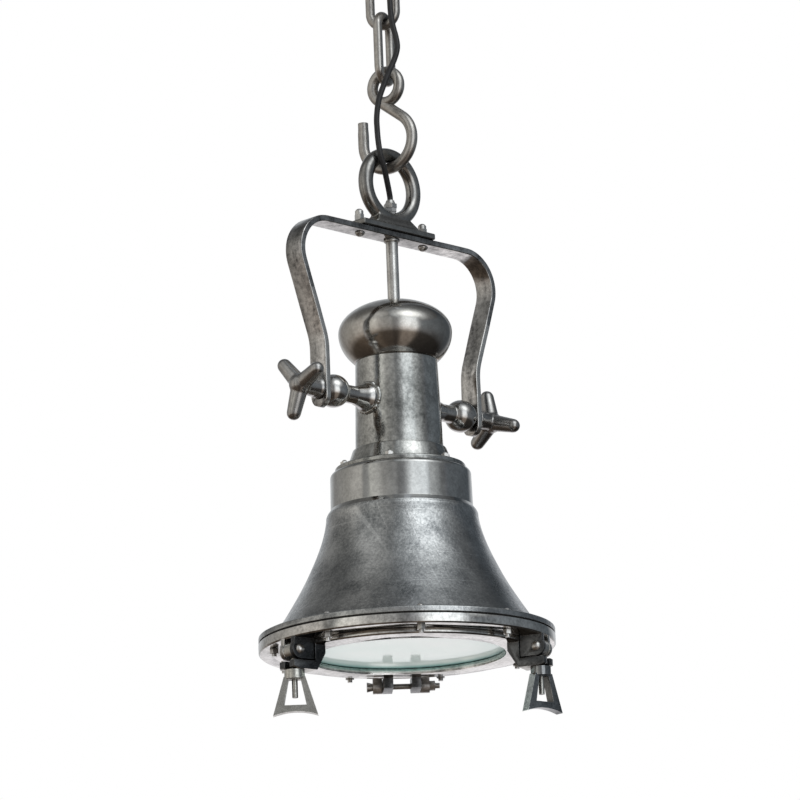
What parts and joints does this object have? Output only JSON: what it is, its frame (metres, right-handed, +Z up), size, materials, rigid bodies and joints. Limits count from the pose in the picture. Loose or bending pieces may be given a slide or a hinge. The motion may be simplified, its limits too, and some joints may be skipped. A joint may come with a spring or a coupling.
{
  "type": "ceiling lamp",
  "caption": "Nautical pendant lamp: chain and open hook, ring on a bent yoke, domed cap, cast neck, bell shade, hinged glazed door held by swing bolts with wing nuts.",
  "frame": {"origin": "middle of the ceiling plate's upper face", "axes": "+Z up into the ceiling, +X along the yoke towards the right trunnion, lamp hangs along -Z"},
  "size_m": [0.3207, 0.31, 0.9058],
  "materials": {
    "cast_silver": "antique silver plate on a casting, worn and mottled",
    "polished_silver": "polished antique silver plate",
    "dark_silver": "polished, darkened silver plate",
    "pewter_wire": "warm grey plated wire, satin",
    "bright_steel": "bright turned steel",
    "gland_grey": "grey moulded plastic",
    "cord_black": "black round cord, satin",
    "gasket_black": "black rubber",
    "clear_glass": "clear, pale green at the edge",
    "bulb_white": "frosted",
    "holder_black": "black moulded plastic",
    "holder_core": "pale ceramic"
  },
  "bodies": {
    "ceiling": {"ceiling_plate": "pewter_wire", "ceiling_hook": "pewter_wire", "ceiling_cord_grip": "gland_grey", "cord_top": "cord_black"},
    "link_upper": {"chain_link_upper": "pewter_wire", "cord_upper": "cord_black"},
    "link_lower": {"chain_link_lower": "pewter_wire", "cord_middle": "cord_black"},
    "hook": {"eye_hook": "pewter_wire", "cord_lower": "cord_black"},
    "lamp": {"suspension_ring": "dark_silver", "base_bolts": "bright_steel", "base_nuts": "bright_steel", "cord_gland": "gland_grey", "gland_nut": "bright_steel", "yoke": "polished_silver", "stem_tube": "bright_steel", "stem_collar": "bright_steel", "inner_cord": "cord_black", "trunnion_left": "polished_silver", "trunnion_right": "polished_silver", "dome_cap": "polished_silver", "neck": "cast_silver", "neck_screws": "bright_steel", "shade": "cast_silver", "rim_gasket": "gasket_black", "rim_ring": "polished_silver", "rim_screws": "bright_steel", "rim_nuts": "bright_steel", "hinge_pin": "bright_steel", "hinge_nut": "bright_steel", "dog_pin_left": "bright_steel", "dog_pin_right": "bright_steel", "dog_pin_nuts": "bright_steel", "lampholder_cap": "holder_black", "lampholder_shell": "holder_black", "lampholder_core": "holder_core", "bulb_cap": "bright_steel", "bulb_glass": "bulb_white"},
    "door": {"bezel": "dark_silver", "glass_pad": "gasket_black", "glass": "clear_glass", "glass_retainer": "bright_steel", "retainer_screws": "bright_steel"},
    "knob_left": {"knob_left": "dark_silver"},
    "knob_right": {"knob_right": "dark_silver"},
    "dog_left": {"swing_bolt_left": "bright_steel"},
    "dog_right": {"swing_bolt_right": "bright_steel"},
    "nut_left": {"wing_nut_left": "dark_silver"},
    "nut_right": {"wing_nut_right": "dark_silver"}
  },
  "joints": [
    {"name": "link_upper_swing", "type": "hinge", "parent": "ceiling", "child": "link_upper", "pos_m": [0, 0, -0.076], "axis": [0.9397, 0.342, 0], "range_deg": [-25, 25], "deforming": ["cord_top"]},
    {"name": "link_lower_swing", "type": "hinge", "parent": "link_upper", "child": "link_lower", "pos_m": [0, 0, -0.1397], "axis": [-0.342, 0.9397, 0], "range_deg": [-25, 25], "deforming": ["cord_upper"]},
    {"name": "hook_swing", "type": "hinge", "parent": "link_lower", "child": "hook", "pos_m": [0, 0, -0.2034], "axis": [0.9397, 0.342, 0], "range_deg": [-25, 25], "deforming": ["cord_middle"]},
    {"name": "lamp_swing", "type": "hinge", "parent": "hook", "child": "lamp", "pos_m": [0, 0, -0.3011], "axis": [-0.2079, 0.9781, 0], "range_deg": [-25, 25], "deforming": ["cord_lower"]},
    {"name": "door_hinge", "type": "hinge", "parent": "lamp", "child": "door", "pos_m": [0.10505, 0.11667, -0.8358], "axis": [0.7431, -0.6691, 0], "range_deg": [0, 100]},
    {"name": "dog_left_swing", "type": "hinge", "parent": "lamp", "child": "dog_left", "pos_m": [-0.1459, 0.01792, -0.8383], "axis": [0.1219, 0.9925, 0], "range_deg": [0, 100]},
    {"name": "nut_left_turn", "type": "hinge", "parent": "dog_left", "child": "nut_left", "pos_m": [-0.1459, 0.01792, -0.8383], "axis": [0, 0, 1], "continuous": true},
    {"name": "dog_right_swing", "type": "hinge", "parent": "lamp", "child": "dog_right", "pos_m": [0.05744, -0.13531, -0.8383], "axis": [-0.9205, -0.3907, 0], "range_deg": [0, 100]},
    {"name": "nut_right_turn", "type": "hinge", "parent": "dog_right", "child": "nut_right", "pos_m": [0.05744, -0.13531, -0.8383], "axis": [0, 0, 1], "continuous": true},
    {"name": "knob_left_turn", "type": "hinge", "parent": "lamp", "child": "knob_left", "pos_m": [-0.116, 0, -0.5608], "axis": [1, 0, 0], "continuous": true},
    {"name": "knob_right_turn", "type": "hinge", "parent": "lamp", "child": "knob_right", "pos_m": [0.116, 0, -0.5608], "axis": [1, 0, 0], "continuous": true}
  ]
}
